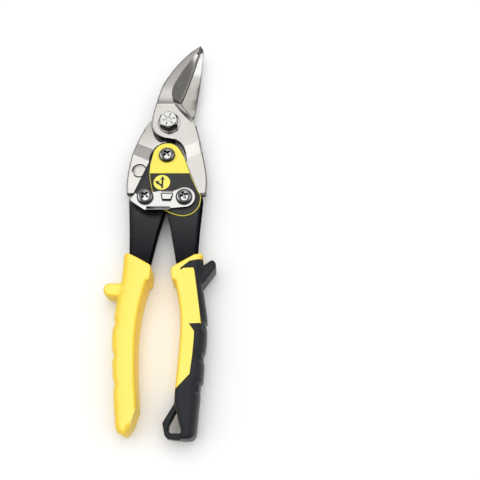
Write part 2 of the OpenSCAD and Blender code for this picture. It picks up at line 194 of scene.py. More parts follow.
def inset(outline, by):
    """A closed outline moved inwards by a small distance, whichever way round it runs."""
    p = resample(outline, 0.8)
    step = np.roll(p, -1, 0) - np.roll(p, 1, 0)
    normal = np.stack([-step[:, 1], step[:, 0]], 1) / np.linalg.norm(step, axis=1)[:, None]
    if not inside(p[:1] + NEAR * normal[:1], outline)[0]:
        normal = -normal
    return [tuple(q) for q in p + by * normal]


def inside(xy, outline):
    """Which points lie inside a closed outline."""
    a = np.array(outline, float)
    b = np.roll(a, -1, 0)
    hit = np.zeros(len(xy), bool)
    for p, q in zip(a, b):
        if p[1] == q[1]:
            continue
        crosses = (p[1] > xy[:, 1]) != (q[1] > xy[:, 1])
        x = p[0] + (xy[:, 1] - p[1]) / (q[1] - p[1]) * (q[0] - p[0])
        hit ^= crosses & (xy[:, 0] < x)
    return hit


def within(xy, outline):
    """Which points lie inside a closed outline or on it."""
    return inside(xy, outline) | (distance(xy, outline, True) < NEAR)


def in_plan(xy, outlines):
    """Which points lie inside the first outline and outside the others, which are its holes."""
    good = inside(xy, outlines[0])
    for hole in outlines[1:]:
        good &= ~inside(xy, hole)
    return good


def edge_distance(xy, outlines):
    return np.min([distance(xy, o, True) for o in outlines], axis=0)


def ring_points(loop, insets, outlines):
    """Points at fixed distances from a loop, where no other stretch of the outlines is nearer."""
    step = np.roll(loop, -1, 0) - np.roll(loop, 1, 0)
    length = np.maximum(np.linalg.norm(step, axis=1), 1e-9)[:, None]
    normal = np.stack([-step[:, 1], step[:, 0]], 1) / length
    found = []
    for d in insets:
        for side in (1, -1):
            p = loop + side * d * normal
            off = np.abs(edge_distance(p, outlines) - d)
            found.append(p[in_plan(p, outlines) & (off < RING_SLACK * d + NEAR)])
    return found


def plan_mesh(outlines, lines, insets, step, spacing):
    """Triangles that face up, over an outline with holes, with edges along the given lines."""
    loops = [resample(o, step) for o in outlines]
    ways = [resample(w, step, False) for w in lines]
    low, high = np.min(outlines[0], axis=0), np.max(outlines[0], axis=0)
    xs = np.arange(low[0], high[0], spacing)
    ys = np.arange(low[1], high[1], spacing * GRID_ROW)
    grid = np.array([(x + (j % 2) * spacing / 2, y) for j, y in enumerate(ys) for x in xs])
    room = spacing * GRID_ROOM
    good = in_plan(grid, outlines) & (edge_distance(grid, outlines) > max(insets) + room)
    for w in ways:
        good &= distance(grid, w) > room
    loose = [p for loop in loops for p in ring_points(loop, insets, outlines)]
    loose = np.concatenate([*loose, grid[good]])
    for w in ways:
        loose = loose[distance(loose, w) > LINE_ROOM]
    points, edges = [], []
    for line, closed in [(loop, True) for loop in loops] + [(w, False) for w in ways]:
        base, n = len(points), len(line)
        points += list(line)
        edges += [(base + i, base + (i + 1) % n) for i in range(n if closed else n - 1)]
    points += list(loose)
    made = delaunay_2d_cdt([Vector(p) for p in points], edges, [], 0, MERGE)
    xy = np.array([tuple(v) for v in made[0]])
    tris = np.array(list(made[2]))
    a, b, c = (xy[tris[:, i]] for i in range(3))
    turn = (b[:, 0] - a[:, 0]) * (c[:, 1] - a[:, 1]) - (b[:, 1] - a[:, 1]) * (c[:, 0] - a[:, 0])
    good = in_plan(xy[tris].mean(1), outlines) & (np.abs(turn) > SLIVER)
    return xy, np.where((turn > 0)[:, None], tris, tris[:, ::-1])[good]


# ---------------- solids

def place(vertices):
    """Plan millimetres about the main pivot to metres in the row frame."""
    out = np.array(vertices, float) * MM
    out[:, :2] += PIVOT_XY
    return out


def add_mesh(name, vertices, faces, sharp):
    mesh = bpy.data.meshes.new(name)
    mesh.from_pydata([tuple(v) for v in place(vertices)], [], faces)
    mesh.update()
    mesh.shade_smooth()
    mesh.set_sharp_from_angle(angle=math.radians(sharp))
    return add_object(name, mesh)


def solid(name, outline, faces, holes, lines, insets, step, spacing, sharp):
    """A closed solid over a plan outline. faces are its top and its bottom: heights from the plan points
    and from their distance to the nearest edge. Edges that turn by more than sharp degrees show."""
    outlines = [outline, *holes]
    xy, tris = plan_mesh(outlines, lines, insets, step, spacing)
    d = edge_distance(xy, outlines)
    n = len(xy)
    vertices = np.concatenate([np.column_stack([xy, np.broadcast_to(z(xy, d), n)]) for z in faces])
    used = dict.fromkeys((t[i], t[(i + 1) % 3]) for t in tris for i in range(3))
    walls = [(b + n, b, a, a + n) for a, b in used if (b, a) not in used]
    polygons = [*tris, *(tris[:, ::-1] + n), *walls]
    kept = sorted({i for p in polygons for i in p})
    index = {old: new for new, old in enumerate(kept)}
    return add_mesh(name, vertices[kept], [tuple(index[i] for i in p) for p in polygons], sharp)


def around(mid, side, outer, inner):
    """Top and bottom of a solid, from its outer and inner face about a level. Side -1 turns it over."""
    upper, lower = (outer, inner) if side > 0 else (inner, outer)
    return (lambda xy, d: mid + side * upper(xy, d)), (lambda xy, d: mid + side * lower(xy, d))


def both_ways(reach):
    """Top and bottom of a solid that reaches as far above the blades' shear level as below it."""
    return (lambda xy, d: MID_Z + reach(xy)), (lambda xy, d: MID_Z - reach(xy))


def rounding(d, r):
    """How far a surface drops at distance d from an edge of radius r."""
    x = np.clip(r - d, 0, r)
    return r - np.sqrt(np.maximum(r * r - x * x, 0))


def round_insets(r, n):
    """Distances from an edge that draw its rounding evenly."""
    return [r * (1 - math.cos(math.pi / 2 * k / n)) for k in range(1, n + 1)]


PLATE_SHARP = 38


def plate(name, outline, z0, z1, edge, holes=(), step=0.8, spacing=3.0):
    """A flat plate with rounded edges."""
    faces = (lambda xy, d: z1 - rounding(d, edge)), (lambda xy, d: z0 + rounding(d, edge))
    return solid(name, outline, faces, holes, (), round_insets(edge, 3), step, spacing, PLATE_SHARP)


def finish_piece(piece, body, material, slot, *nodes):
    piece.data.materials.append(material)
    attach(piece, body)
    if nodes:
        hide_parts(*nodes)


def flat_part(name, node, outline, edge, body, material, slot, holes=()):
    """A plate that takes the place of a CAD node, at that node's heights."""
    finish_piece(plate(name, outline, *heights(node), edge, holes), body, material, slot, node)


# ---------------- materials

# The part of a noise's range that holds most of its values
NOISE_RANGE = (0.3, 0.7)
# Upright part of the normal where a finish is all top colour, and where it is all side colour, a painted
# shade that darkens steep faces
STEEL_STEEP = (0.8, 0.7)
PLATING_STEEP = (0.95, 0.72)
MOULDED_STEEP = (0.998, 0.84)
# Upright part of the normal where paint has no shine, and where it has all of it; the lost shine on steep
# faces is painted shade
PAINT_SHINE = (0.7, 0.96)
# Where the paint's painted sheen starts and stops to grow along Y, in metres
PAINT_SHEEN_SPAN = (-0.03, 0.012)
STEEL = (0.80, 0.77, 0.73)
# Painted shade: the colour that steel's steep side walls are darkened to
STEEL_PAINTED_SHADE = (0.05, 0.048, 0.046)
PLATING_TONES = [(0.80, 0.79, 0.77), (0.92, 0.91, 0.90)]
# Painted shade: the colour that the plating's steep faces, such as dome rims and recess walls, are darkened
# to
PLATING_PAINTED_SHADE = (0.07, 0.068, 0.065)
# Stretch of the noise that draws the grinding lines
GRINDING = (120, 5000, 800)


def shader_of(material):
    return material.node_tree.nodes["Principled BSDF"]


def fill(node, **values):
    """Sets a node's inputs. A name's underscores stand for its spaces."""
    for key, value in values.items():
        node.inputs[key.replace("_", " ")].default_value = value


def node_material(name, colour, metallic, roughness):
    material = bpy.data.materials.new(name)
    material.use_nodes = True
    fill(shader_of(material), Base_Color=(*colour, 1), Metallic=metallic, Roughness=roughness)
    return material


def add_node(material, kind, **settings):
    node = material.node_tree.nodes.new(kind)
    for key, value in settings.items():
        setattr(node, key, value)
    return node


def link(material, source, target):
    material.node_tree.links.new(source, target)


def feed(material, socket, source):
    link(material, source, shader_of(material).inputs[socket])


def noise(material, scale, detail, stretch=(1, 1, 1), turn=0.0):
    """Noise over the object coordinates, which can be stretched, and turned about Z."""
    where = add_node(material, "ShaderNodeTexCoord")
    mapping = add_node(material, "ShaderNodeMapping")
    fill(mapping, Scale=stretch, Rotation=(0, 0, turn))
    link(material, where.outputs["Object"], mapping.inputs["Vector"])
    node = add_node(material, "ShaderNodeTexNoise")
    fill(node, Scale=scale, Detail=detail, Roughness=0.6)
    link(material, mapping.outputs["Vector"], node.inputs["Vector"])
    return node.outputs["Fac"]


def ramp(material, value, low, high, out_low, out_high):
    node = add_node(material, "ShaderNodeMapRange")
    fill(node, From_Min=low, From_Max=high, To_Min=out_low, To_Max=out_high)
    link(material, value, node.inputs["Value"])
    return node.outputs["Result"]


def mix_colour(material, factor, low, high):
    node = add_node(material, "ShaderNodeMix", data_type="RGBA")
    link(material, factor, node.inputs[0])
    for socket, value in zip(node.inputs[6:8], (low, high)):
        if isinstance(value, tuple):
            socket.default_value = (*value, 1)
        else:
            link(material, value, socket)
    return node.outputs[2]


def coordinate(material, kind, letter):
    """One axis of the object coordinates or of the surface normal."""
    where = add_node(material, "ShaderNodeTexCoord")
    axes = add_node(material, "ShaderNodeSeparateXYZ")
    link(material, where.outputs[kind], axes.inputs[0])
    return axes.outputs[letter]


def steepness(material, low, high):
    """0 to 1 as the upright part of the normal goes from low to high."""
    up = add_node(material, "ShaderNodeMath", operation="ABSOLUTE")
    link(material, coordinate(material, "Normal", "Z"), up.inputs[0])
    return ramp(material, up.outputs[0], low, high, 0, 1)


def bump(material, height, strength, depth):
    node = add_node(material, "ShaderNodeBump")
    fill(node, Strength=strength, Distance=depth)
    link(material, height, node.inputs["Height"])
    feed(material, "Normal", node.outputs["Normal"])


def ground_steel(name, angle, colour, rough, painted_tones=()):
    """Satin steel with fine grinding lines at an angle to the X axis, and painted shade that darkens its side
    walls. Its colour can change along Y, which paints reflections and shade."""
    material = node_material(name, colour, 1.0, 0.32)
    lines = noise(material, 1.0, 3, GRINDING, -math.radians(angle))
    cloud = noise(material, 90, 3)
    feed(material, "Roughness", ramp(material, lines, *NOISE_RANGE, *rough))
    # Painted light: the colour along Y stands in for reflections and shade
    if painted_tones:
        low, high = painted_tones[0][0], painted_tones[-1][0]
        scale = add_node(material, "ShaderNodeValToRGB")
        link(material, ramp(material, coordinate(material, "Object", "Y"), low, high, 0, 1),
             scale.inputs[0])
        stops = scale.color_ramp.elements
        while len(stops) < len(painted_tones):
            stops.new(0.5)
        for stop, (y, tone) in zip(stops, painted_tones):
            stop.position = (y - low) / (high - low)
            stop.color = (*tone, 1)
        colour = scale.outputs[0]
    dull = mix_colour(material, ramp(material, cloud, 0.35, 0.65, 0.06, 0), colour, (0.0, 0.0, 0.0))
    # Painted shade: steep faces take the dark side colour
    feed(material, "Base Color",
         mix_colour(material, steepness(material, *STEEL_STEEP), dull, STEEL_PAINTED_SHADE))
    bump(material, lines, 0.1, 0.00002)
    return material


def bright_plating():
    material = node_material("bright_plating", PLATING_TONES[0], 1.0, 0.14)
    cloud = noise(material, 700, 4)
    feed(material, "Roughness", ramp(material, cloud, *NOISE_RANGE, 0.06, 0.16))
    flat = mix_colour(material, cloud, *PLATING_TONES)
    # Painted shade: steep faces take the dark side colour
    feed(material, "Base Color",
         mix_colour(material, steepness(material, *PLATING_STEEP), flat, PLATING_PAINTED_SHADE))
    bump(material, cloud, 0.12, 0.00003)
    return material


def painted(name, colour, roughness, worn, coat, gloss):
    """Powder coat with orange peel and faint wear. Its shine grows away from the grips and fades on steep
    faces, as painted sheen and shade.
    """
    material = node_material(name, colour, 0.0, roughness)
    fill(shader_of(material), Coat_Weight=coat, Coat_Roughness=0.2)
    # Painted sheen: shine grows along Y away from the grips, and steep faces lose it
    shine = ramp(material, coordinate(material, "Object", "Y"), *PAINT_SHEEN_SPAN, 0.04 * gloss, gloss)
    flat = add_node(material, "ShaderNodeMath", operation="MULTIPLY")
    link(material, shine, flat.inputs[0])
    link(material, steepness(material, *PAINT_SHINE), flat.inputs[1])
    feed(material, "Specular IOR Level", flat.outputs[0])
    cloud = noise(material, 160, 5)
    wear = ramp(material, cloud, 0.45, 0.8, 0, 1)
    feed(material, "Base Color", mix_colour(material, wear, colour, worn))
    feed(material, "Roughness", ramp(material, cloud, *NOISE_RANGE, roughness - 0.06, roughness + 0.1))
    bump(material, noise(material, 1400, 2), 0.15, 0.00004)
    return material


def moulded(name, colour, deep, roughness, grain=2200, strength=0.25, side=None):
    """Moulded plastic or rubber with a fine matt grain. Its steep side walls can take another colour, which
    is painted shade.
    """
    material = node_material(name, colour, 0.0, roughness)
    base = mix_colour(material, ramp(material, noise(material, 60, 4), *NOISE_RANGE, 0, 1), deep, colour)
    # Painted shade: steep faces take the side colour
    if side:
        base = mix_colour(material, steepness(material, *MOULDED_STEEP), base, side)
    feed(material, "Base Color", base)
    fine = noise(material, grain, 2)
    feed(material, "Roughness", ramp(material, fine, *NOISE_RANGE, roughness - 0.07, roughness + 0.07))
    bump(material, fine, strength, 0.00006)
    return material


# Colour of the lower blade along Y, in metres, which paints its reflections: a lighter tang, painted shade at
# the jaw root, a white painted highlight at the jaw end, and painted shade at the tip
LOWER_PAINTED_LIGHT = [(0.045, (0.9, 0.87, 0.83)), (0.068, (0.54, 0.51, 0.47)), (0.092, (0.6, 0.57, 0.53)),
               (0.101, (0.68, 0.66, 0.62)), (0.1045, (1.0, 1.0, 0.99)), (0.1195, (1.0, 1.0, 0.99)),
               (0.1212, (0.3, 0.3, 0.29))]
STEEL_UPPER = ground_steel("ground_steel_upper", 62, STEEL, (0.12, 0.20))
STEEL_LOWER = ground_steel("ground_steel_lower", 82, STEEL, (0.12, 0.20), LOWER_PAINTED_LIGHT)
PLATING = bright_plating()
SPRING_STEEL = ground_steel("spring_steel", 0, (0.22, 0.22, 0.23), (0.3, 0.5))
BLACK_PAINT = painted("black_paint", (0.004, 0.0045, 0.0065), 0.36, (0.008, 0.009, 0.013), 0.0, 0.9)
YELLOW_PAINT = painted("yellow_paint", (0.92, 0.78, 0.095), 0.36, (0.87, 0.72, 0.08), 0.3, 0.5)
LABEL_DARK = moulded("dark_label", (0.030, 0.030, 0.028), (0.020, 0.020, 0.019), 0.42, 900, 0.08)
LABEL_YELLOW = moulded("yellow_label", (0.92, 0.84, 0.14), (0.86, 0.76, 0.10), 0.42, 900, 0.08)
# The grip's side colour is painted shade: a deeper orange where its sides turn from the light
YELLOW_GRIP = moulded("yellow_plastic", (0.955, 0.81, 0.15), (0.945, 0.785, 0.13), 0.45,
                      side=(0.95, 0.66, 0.05))
BLACK_GRIP = moulded("black_rubber", (0.010, 0.011, 0.015), (0.007, 0.008, 0.011), 0.44)

# ---------------- blades

EYE_R = 7.3
LOBE_R = 11.2
JOGGLE_ANGLE = 24
UPPER_RAMP = (-19.5, -26.4)
LOWER_RAMP = (-17.8, -26.9)
UNDERSIDE_SHIFT = -1
SHOULDER_R = 1.1
CHAMFER = 0.5
CHAMFER_SLOPE = 1.1
BLADE_INSETS = [0.15, CHAMFER, CHAMFER + 0.1, 0.85, SHOULDER_R]
GROUND_EDGE_R = 0.3

blade_low, blade_high = heights("upper_blade")
TANG_T = 2 * (MID_Z - blade_low)
FACE_GAP = 0.05
BLADE_T = blade_high - MID_Z - FACE_GAP
BOLT_HOLE_R = 4.05
SPOT_R = 7.0
SPOT_DEPTH = 0.4

TANG_INNER = curve([(4.1, -12.1), (7.6, -14.8), (9.7, -18.6), (10.7, -24), (9.9, -33), (8.6, -41),
                    (5.2, -49.4)])
TANG_EYE = arc(RIGHT_TANG, EYE_R, 150, 360)
TANG_SHOULDER = [(19.3, -48), (23.2, -48), (23.9, -47.2)]
UPPER_OUTER = curve([(24.3, -40.6), (23.8, -33.5), (21.8, -22.4), (19.2, -10.5), (17.2, -3), (14.6, 3.8),
                     (12, 8.2), (8.3, 13.6), (6.7, 17)])
UPPER_EDGE = [(8, 20), (11.5, 31), (14.6, 42.2), (17.4, 54), (18.6, 60.9)]
UPPER_SPINE = curve([(17.8, 60.8), (13, 56.8), (8.4, 51.8), (3.9, 45.8), (-0.5, 38.7), (-4.8, 30.4),
                     (-7, 23.4), (-8.9, 15), (-10.7, 6.2)])
UPPER_OUTLINE = (UPPER_SPINE + arc((0, 0), LOBE_R, 165, 268) + TANG_INNER + TANG_EYE
                 + TANG_SHOULDER + UPPER_OUTER + UPPER_EDGE)
LOWER_OUTER = curve([(-24.4, -40.6), (-24, -33.5), (-22.5, -21.6), (-19.6, -9.8), (-16.3, -2.3),
                     (-12.7, 3.3), (-7, 8.6), (0, 12.2), (5, 15.8)])
LOWER_EDGE = [(6.4, 20), (9.9, 31), (13.6, 42.2), (16.9, 54), (18.2, 61.6)]
LOWER_SPINE = curve([(19, 61.4), (19.9, 58.4), (19.8, 52.6), (19.3, 45), (18.8, 37.5), (18.1, 30),
                     (16.8, 19.1), (15.2, 8.3)])
LOWER_OUTLINE = (LOWER_SPINE + arc((0, 0), LOBE_R, 10, -88) + flip(TANG_INNER) + flip(TANG_EYE)
                 + flip(TANG_SHOULDER) + LOWER_OUTER + LOWER_EDGE)

# Slope of a jaw's outer face along Y in degrees, from the root line to the tip, and the height it gives
JAW_SLOPE = [(13.9, 7.0), (16.5, 4.5), (19.5, 0.2), (22.5, -0.3), (28, 2.6), (34, 3.2), (61.6, 3.4)]
JAW_Y = np.linspace(JAW_SLOPE[0][0], JAW_SLOPE[-1][0], 160)
JAW_FALL = np.tan(np.radians(np.interp(JAW_Y, *zip(*JAW_SLOPE)))) * (JAW_Y[1] - JAW_Y[0])
JAW_T = BLADE_T - np.cumsum(JAW_FALL) + JAW_FALL[0]
JAW_ROOT_Y = JAW_Y[0]
JAW_ROOT_X = {1: (-9.2, 3.4), -1: (6, 17)}
RIDGE_WIDTH, RIDGE_HEIGHT = 0.4, 0.1
LAND_Y = [0, 8, 16, 40, 54]
LAND_T = [3.1, 2.5, 1.15, 1.15, 1.45]
LAND_SLOPE = 0.265

# Each row holds a point on the crest of the hollow and the land point across from it
UPPER_ROWS = [(15.6, 54.7, 16.7, 54.2), (9.7, 44.5, 13.1, 43.2), (6.3, 38.4, 11.7, 37),
              (3.4, 32.3, 10.2, 31.1), (1.5, 27.4, 8.8, 26.5), (0.8, 23.2, 7.6, 22.6), (1.2, 19.2, 6.8, 19.4),
              (2.3, 15.3, 6.6, 17), (4.1, 11.8, 7.6, 13.9), (9.8, 4.6, 12.2, 6.4), (17.9, -3.8, 18.5, -2.8)]
LOWER_ROWS = [(18.4, 56, 17.9, 56), (17.2, 45, 15.5, 45.4), (15.6, 36, 12.8, 37), (13.8, 27, 10, 28.2),
              (12.2, 20, 7.8, 21.8), (10, 16, 6.6, 18.2), (7, 13.2, 4.7, 15.4), (2.8, 11.2, 1.6, 12.8)]


def joggle_line(v, side):
    """Line straight across a tang at distance v along the slanted joggle."""
    return turned_by([(4 * side, v), (30 * side, v)], (0, 0), JOGGLE_ANGLE * side)


def joggle(xy, side, start, end):
    """How far along the joggle each point is, from 0 at the pivot level to 1 at the tang level."""
    a = math.radians(JOGGLE_ANGLE * side)
    v = -xy[:, 0] * math.sin(a) + xy[:, 1] * math.cos(a)
    return np.clip((start - v) / (start - end), 0, 1)


def outer_height(xy, side, ends):
    """Height of a blade's outer side above the shear plane, before the jaw is ground."""
    t = joggle(xy, side, *ends)
    return (1 - t) * (FACE_GAP + BLADE_T) + t * TANG_T / 2


def shear_height(xy, side, ends):
    t = joggle(xy, side, ends[0] + UNDERSIDE_SHIFT, ends[1] + UNDERSIDE_SHIFT)
    return (1 - t) * FACE_GAP - t * TANG_T / 2


def ground_edge(d):
    """Drop of a face near the blade's outline: a soft shoulder, then a chamfer."""
    return rounding(d, SHOULDER_R) + CHAMFER_SLOPE * np.clip(CHAMFER - d, 0, None)


def row_lines(rows):
    """The crest, the land line across from it, and a line 3 mm past that, over the cutting edge."""
    crest = curve([r[:2] for r in rows], 4)
    land = curve([r[2:] for r in rows], 4)
    past = []
    for c, p in zip(np.array(crest), np.array(land)):
        way = p - c
        past.append(tuple(p + way * 3 / max(np.linalg.norm(way), 0.3)))
    return crest, land, past


def ground_jaw(xy, d, outer, rows):
    """Outer height of a jaw: a long taper, then a hollow from its crest to a flat land at the edge."""
    crest, land, past = row_lines(rows)
    y = xy[:, 1]
    jaw = FACE_GAP + np.interp(y, JAW_Y, JAW_T)
    z = np.where(y > JAW_ROOT_Y, np.minimum(outer, jaw), outer)
    z = z + RIDGE_HEIGHT * np.clip(1 - np.abs(y - JAW_ROOT_Y) / RIDGE_WIDTH, 0, 1)
    low = np.minimum(FACE_GAP + np.interp(y, LAND_Y, LAND_T), z)
    hollow = inside(xy, crest + land[::-1])
    to_crest, to_land = distance(xy, crest), distance(xy, land)
    t = to_crest / np.maximum(to_crest + to_land, 1e-6)
    flat = inside(xy, land + past[::-1]) | (to_land < 0.02)
    cut = np.where(flat, low - LAND_SLOPE * to_land, z + (low - z) * t)
    ground = np.where(flat | hollow, cut, z)
    edge = np.where(flat | hollow, rounding(d, GROUND_EDGE_R), ground_edge(d))
    return ground - np.minimum(edge, ground * 0.3)


def blade(name, outline, side, ends, rows, holes, lines, outer_of, shear_of):
    """One blade. Its outer side faces up on side 1 and down on side -1."""
    root = [(x, JAW_ROOT_Y) for x in JAW_ROOT_X[side]]
    ridge = [(x, y - RIDGE_WIDTH) for x, y in root]
    ramps = [joggle_line(v, side) for v in (*ends, *[e + UNDERSIDE_SHIFT for e in ends])]
    ground = [[p for p in line if inside(np.array([p]), outline)[0]] for line in row_lines(rows)[:2]]
    return solid(name, outline, around(MID_Z, side, outer_of, shear_of), holes,
                 [*ramps, *ground, root, ridge, *lines], BLADE_INSETS, step=0.7, spacing=1.1, sharp=9)


def upper_blade():
    def outer_of(xy, d):
        outer = outer_height(xy, 1, UPPER_RAMP)
        spot = np.hypot(xy[:, 0], xy[:, 1]) < SPOT_R + NEAR
        return np.where(spot, outer - SPOT_DEPTH, ground_jaw(xy, d, outer, UPPER_ROWS))

    def shear_of(xy, d):
        return shear_height(xy, 1, UPPER_RAMP) + rounding(d, 0.12)

    spot_wall = [ring((0, 0), r) for r in (SPOT_R, SPOT_R + 0.05)]
    piece = blade("upper_blade_steel", UPPER_OUTLINE, 1, UPPER_RAMP, UPPER_ROWS,
                  [circle((0, 0), BOLT_HOLE_R), circle(RIGHT_TANG, 3.05)], spot_wall, outer_of, shear_of)
    finish_piece(piece, "upper_blade_body", STEEL_UPPER, "ground_steel", "upper_blade")


DISC_CENTRE = (-17, -32.3)
DISC_R = 4.0
DISC_DEPTH = 0.5
GROOVE_R = DISC_R + 0.6
GROOVE_DEPTH = 0.9
LOWER_TANG_Y = -2
TANG_EDGE_MAX = 1.2
# Fall of the lower jaw's back over a width from its spine, and its share along Y
BACK_FALL, BACK_WIDTH = 1.1, 8.5
BACK_SHARE = [(12, 0), (20, 1), (30, 1), (52, 0)]
TIP_FALL, TIP_START, TIP_LENGTH = 0.9, 56, 6


def lower_blade():
    def outer_of(xy, d):
        return ground_jaw(xy, d, outer_height(xy, -1, LOWER_RAMP), LOWER_ROWS)

    def shear_of(xy, d):
        y = xy[:, 1]
        back = BACK_FALL * np.clip(1 - distance(xy, LOWER_SPINE) / BACK_WIDTH, 0, 1) ** 2
        tip = TIP_FALL * np.clip((y - TIP_START) / TIP_LENGTH, 0, 1) ** 1.3
        r = np.hypot(xy[:, 0] - DISC_CENTRE[0], y - DISC_CENTRE[1])
        recess = r < GROOVE_R + NEAR
        recess = DISC_DEPTH * recess + GROOVE_DEPTH * (recess & (r > DISC_R - NEAR))
        edge = np.where(y < LOWER_TANG_Y, np.minimum(ground_edge(d), TANG_EDGE_MAX),
                        rounding(d, GROUND_EDGE_R))
        fall = back * np.interp(y, *zip(*BACK_SHARE))
        return shear_height(xy, -1, LOWER_RAMP) + edge + fall + tip + recess

    groove = [ring(DISC_CENTRE, r) for r in (DISC_R - 0.05, DISC_R, GROOVE_R, GROOVE_R + 0.05)]
    piece = blade("lower_blade_steel", LOWER_OUTLINE, -1, LOWER_RAMP, LOWER_ROWS,
                  [circle((0, 0), BOLT_HOLE_R), circle(LEFT_TANG, 3.4)], groove, outer_of, shear_of)
    finish_piece(piece, "lower_blade_body", STEEL_LOWER, "ground_steel", "lower_blade")


def stamped_disc():
    flat_part("stamped_disc_steel", "stamped_disc", circle(DISC_CENTRE, DISC_R), 0.2,
              "lower_blade_body", STEEL_UPPER, "ground_steel")


# ---------------- handles

FRAME_OUTER = [(22, -51.4), (20.4, -71), (19.6, -85), (19.7, -110), (20.4, -130), (19.8, -150),
               (18.6, -166)]
FRAME_INNER = [(12, -166), (13, -150), (13.8, -135), (12.9, -120), (10.7, -105), (8, -93.6),
               (4, -72.9), (1, -60.6)]
HUB_R = 9.4
SHEET_T = 1.7
FOLD_R = 2.3
FLANGE_EDGE_R = 0.35
HINGE_R = 2.5
TANG_R = 3.0
FRAME_OUTLINE = (FRAME_OUTER + FRAME_INNER + arc(HINGE, HUB_R, 195, 22, 24) + [(20.6, -51.4)])


def channel_half(name, side, up, z_low, z_high, hinge_hole):
    """Upper or lower half of a pressed channel: one flange and half of the web."""
    reach = (z_high - z_low) / 2

    def inward(xy):
        """Distance in from the web's outer face. Past the web's end there is no fold."""
        gap = line_x(xy, FRAME_OUTER) - side * xy[:, 0]
        return np.where(xy[:, 1] > FRAME_OUTER[0][1] + NEAR, 99.0, gap)

    def outer(xy, d):
        return reach - np.maximum(rounding(inward(xy), FOLD_R), rounding(d, FLANGE_EDGE_R))

    def inner(xy, d):
        return np.where(inward(xy) < SHEET_T - 0.03, 0.0, reach - SHEET_T)

    folds = [SHEET_T, SHEET_T - 0.06, *round_insets(FOLD_R, 5)]
    lines = [[(side * (x - g), y) for x, y in FRAME_OUTER] for g in folds]
    holes = [circle((0, HINGE[1]), hinge_hole), circle((side * RIGHT_TANG[0], RIGHT_TANG[1]), TANG_R)]
    return solid(name, FRAME_OUTLINE if side > 0 else flip(FRAME_OUTLINE),
                 around((z_low + z_high) / 2, up, outer, inner), holes, lines,
                 round_insets(FLANGE_EDGE_R, 3), step=1.0, spacing=3.0, sharp=40)


def handle_frames():
    for side, word, hinge_hole in ((1, "right", HINGE_R), (-1, "left", HINGE_R + 0.05)):
        node = f"{word}_handle_frame"
        for up, half in ((1, "upper"), (-1, "lower")):
            piece = channel_half(f"{word}_channel_{half}", side, up, *heights(node), hinge_hole)
            finish_piece(piece, f"{word}_handle", BLACK_PAINT, "black_paint", node)


# ---------------- screws and bolt

HEAD_R = 4.9
HEAD_H = 2.85
HEAD_SIDE = 0.75
HEAD_INSETS = [0.05, 0.15, 0.35, 0.7, 1.1]
RECESS_DEPTH = 1.5
# Cross recess at its rim and at its floor: an arm's length and half width, and the corner between arms
CROSS_RIM = (2.55, 0.62, 0.85)
CROSS_FLOOR = (1.7, 0.1, 0.16)
NECK_R = 2.2
# How far a shank goes up into its head
SHANK_JOIN = 0.3


def cross_outline(arm, half, corner):
    quarter = [(arm, -half), (arm, half), (corner, corner)]
    return [p for k in range(4) for p in turned_by(quarter, (0, 0), 90 * k)]


def pan_head(name, centre, z0, z1, turn):
    """Domed screw head with a cross recess."""
    rim, floor = (turned_by(cross_outline(*cross), centre, turn) for cross in (CROSS_RIM, CROSS_FLOOR))
    dome_z = z0 + HEAD_SIDE

    def top(xy, d):
        r = np.hypot(xy[:, 0] - centre[0], xy[:, 1] - centre[1]) / HEAD_R
        dome = dome_z + (z1 - dome_z) * np.sqrt(np.clip(1 - r ** 2.3, 0, 1))
        to_rim, to_floor = distance(xy, rim, True), distance(xy, floor, True)
        t = np.where(inside(xy, floor), 1.0, to_rim / np.maximum(to_rim + to_floor, 1e-6))
        return dome - np.where(inside(xy, rim), RECESS_DEPTH * t, 0)

    return solid(name, circle(centre, HEAD_R, 56), (top, lambda xy, d: z0 + rounding(d, 0.15)), (),
                 [rim + rim[:1], floor + floor[:1]], HEAD_INSETS, step=0.35, spacing=0.45, sharp=32)


def screws():
    spots = {"hinge_screw": (HINGE, "right_handle", HINGE_R, 38),
             "right_tang_screw": (RIGHT_TANG, "right_handle", TANG_R, 20),
             "left_tang_screw": (LEFT_TANG, "left_handle", TANG_R, 52)}
    for node, (centre, body, shank_r, turn) in spots.items():
        low, high = heights(node)
        shank_top = high - HEAD_H + SHANK_JOIN
        parts = [pan_head(node + "_head", centre, high - HEAD_H, high, turn)]
        if node == "left_tang_screw":
            neck_z = heights("left_handle_frame")[1]
            parts.append(plate(node + "_neck", circle(centre, NECK_R), neck_z, shank_top, 0.1))
            shank_top = neck_z
        parts.append(plate(node + "_shank", circle(centre, shank_r), low, shank_top, 0.3))
        for part in parts:
            finish_piece(part, body, PLATING, "bright_plating", node)


BOLT_R = 4.0
BOLT_ACROSS = 11
# The bolt's face: its flat part, how its corners fall, its dimple, and its raised radial marks
FACE_R = 4.95
FACE_SLOPE = 0.58
DIMPLE_R, DIMPLE_DEPTH = 1.6, 0.3
MARK = [(2.3, -0.4), (4.3, -0.4), (4.3, 0.4), (2.3, 0.4)]
MARK_HEIGHT = 0.22
MARK_WALL = 0.06


